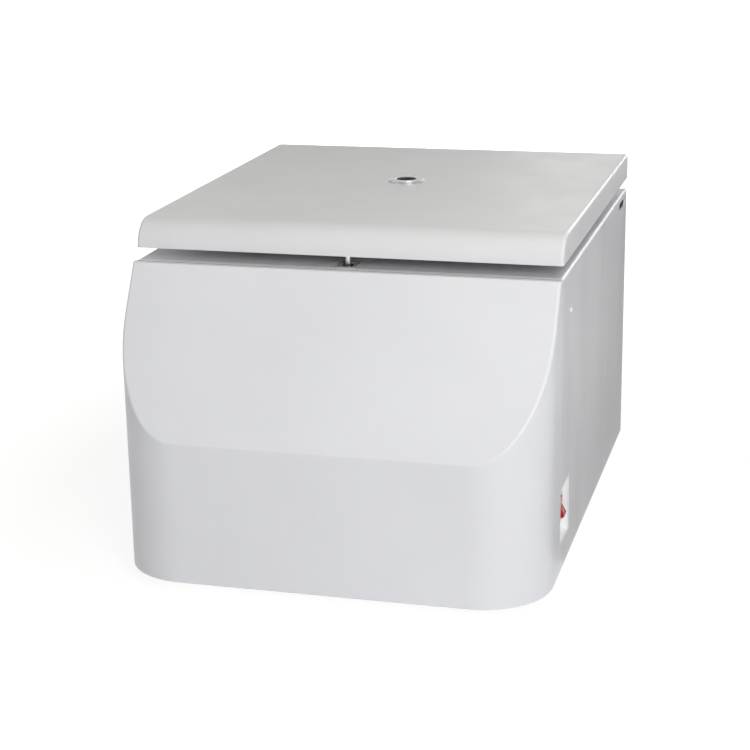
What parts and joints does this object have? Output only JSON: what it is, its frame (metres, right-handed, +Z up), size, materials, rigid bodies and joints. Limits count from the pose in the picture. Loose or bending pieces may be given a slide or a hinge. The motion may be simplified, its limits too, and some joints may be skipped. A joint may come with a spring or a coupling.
{
  "type": "microplate centrifuge",
  "caption": "Benchtop microplate centrifuge: white housing with slanted front, rear-hinged lid with sight window, swing-out rotor, motorised lid lock and side power switch.",
  "frame": {"origin": "centre of the footprint, on the bench", "axes": "+Z up, the front faces -Y, +X to the right seen from the front"},
  "size_m": [0.4321, 0.574, 0.3535],
  "materials": {
    "moulding_paint": "satin white paint on a moulding",
    "panel_paint": "satin white powder coat",
    "lid_paint": "satin white paint",
    "zinc_steel": "zinc plated sheet",
    "foot_rubber": "matt black",
    "bright_steel": "bright ground steel",
    "dark_plastic": "moulded black",
    "stainless": "spun stainless",
    "gasket_rubber": "matt black",
    "guard_steel": "grey primer",
    "motor_aluminium": "cast aluminium",
    "motor_iron": "laminated iron",
    "pocket_plastic": "satin white",
    "switch_plastic": "satin light grey",
    "pin_brass": "machined",
    "board_laminate": "solder mask green",
    "liner_aluminium": "satin sheet",
    "window_chrome": "bright chrome",
    "window_glass": "dark clear",
    "rotor_aluminium": "anodised",
    "carrier_aluminium": "satin anodised",
    "mat_rubber": "matt",
    "rocker_red": "gloss red"
  },
  "bodies": {
    "housing": {"base_tray": "zinc_steel", "feet": "foot_rubber", "front_shell": "moulding_paint", "side_panel_right": "panel_paint", "side_panel_left": "panel_paint", "rear_panel": "panel_paint", "panel_screws": "bright_steel", "deck_plate": "panel_paint", "latch_escutcheon": "switch_plastic", "chamber_bowl": "stainless", "chamber_gasket": "gasket_rubber", "guard_ring": "guard_steel", "chassis_plate": "zinc_steel", "chassis_posts": "zinc_steel", "motor_dampers": "gasket_rubber", "motor_can": "motor_aluminium", "motor_flange": "motor_aluminium", "motor_bearings": "bright_steel", "motor_stator": "motor_iron", "shaft_boot": "gasket_rubber", "hinge_brackets": "zinc_steel", "hinge_pins": "bright_steel", "latch_frame": "zinc_steel", "latch_gearmotor": "dark_plastic", "release_bracket": "zinc_steel", "lid_sensor": "dark_plastic", "switch_cup": "pocket_plastic", "switch_body": "switch_plastic", "fan_frame": "dark_plastic", "fan_grille": "bright_steel", "power_inlet": "dark_plastic", "inlet_pins": "pin_brass", "board_standoffs": "pin_brass", "control_board": "board_laminate", "drive_box": "zinc_steel", "drive_heatsink": "motor_aluminium"},
    "lid": {"lid_shell": "lid_paint", "lid_liner": "liner_aluminium", "window_bezel": "window_chrome", "window_glass": "window_glass", "window_nut": "dark_plastic", "hinge_arms": "zinc_steel", "striker_pin": "bright_steel"},
    "rotor": {"rotor_yoke": "rotor_aluminium", "trunnion_pins": "bright_steel", "rotor_nut": "rotor_aluminium", "motor_shaft": "bright_steel", "motor_core": "motor_iron"},
    "carrier_right": {"carrier_right": "carrier_aluminium", "mat_right": "mat_rubber"},
    "carrier_left": {"carrier_left": "carrier_aluminium", "mat_left": "mat_rubber"},
    "lock_slider": {"latch_slider": "bright_steel"},
    "lock_pinion": {"latch_pinion": "pin_brass", "release_shaft": "bright_steel"},
    "release_plug": {"release_plug": "pocket_plastic"},
    "power_rocker": {"power_rocker": "rocker_red"},
    "fan_rotor": {"fan_rotor": "dark_plastic"},
    "fuse_drawer": {"fuse_drawer": "dark_plastic"}
  },
  "joints": [
    {"name": "lid_hinge", "type": "hinge", "parent": "housing", "child": "lid", "pos_m": [0, 0.261, 0.2995], "axis": [-1, 0, 0], "range_deg": [0, 80]},
    {"name": "rotor_spin", "type": "hinge", "parent": "housing", "child": "rotor", "pos_m": [0, 0.073, 0.247], "axis": [0, 0, 1], "continuous": true},
    {"name": "carrier_right_swing", "type": "hinge", "parent": "rotor", "child": "carrier_right", "pos_m": [0.08915, 0.073, 0.247], "axis": [0, -1, 0], "range_deg": [-5, 90]},
    {"name": "carrier_left_swing", "type": "hinge", "parent": "rotor", "child": "carrier_left", "pos_m": [-0.08915, 0.073, 0.247], "axis": [0, 1, 0], "range_deg": [-5, 90]},
    {"name": "lock_pinion_turn", "type": "hinge", "parent": "housing", "child": "lock_pinion", "pos_m": [0, -0.136, 0.269], "axis": [-1, 0, 0], "range_deg": [0, 38.2]},
    {"name": "lock_slide", "type": "slide", "parent": "housing", "child": "lock_slider", "axis": [0, 1, 0], "range_m": [0, 0.0081]},
    {"name": "release_plug_pull", "type": "slide", "parent": "housing", "child": "release_plug", "axis": [1, 0, 0], "range_m": [0, 0.012]},
    {"name": "power_rocker_tilt", "type": "hinge", "parent": "housing", "child": "power_rocker", "pos_m": [0.2073, -0.144, 0.0685], "axis": [0, 1, 0], "range_deg": [0, 28]},
    {"name": "fan_spin", "type": "hinge", "parent": "housing", "child": "fan_rotor", "pos_m": [-0.095, 0.263, 0.088], "axis": [0, 1, 0], "continuous": true},
    {"name": "fuse_drawer_pull", "type": "slide", "parent": "housing", "child": "fuse_drawer", "axis": [0, 1, 0], "range_m": [0, 0.018]}
  ],
  "couplings": [
    {"joint": "lock_slide", "follows": "lock_pinion_turn", "m_per_rad": 0.012}
  ]
}
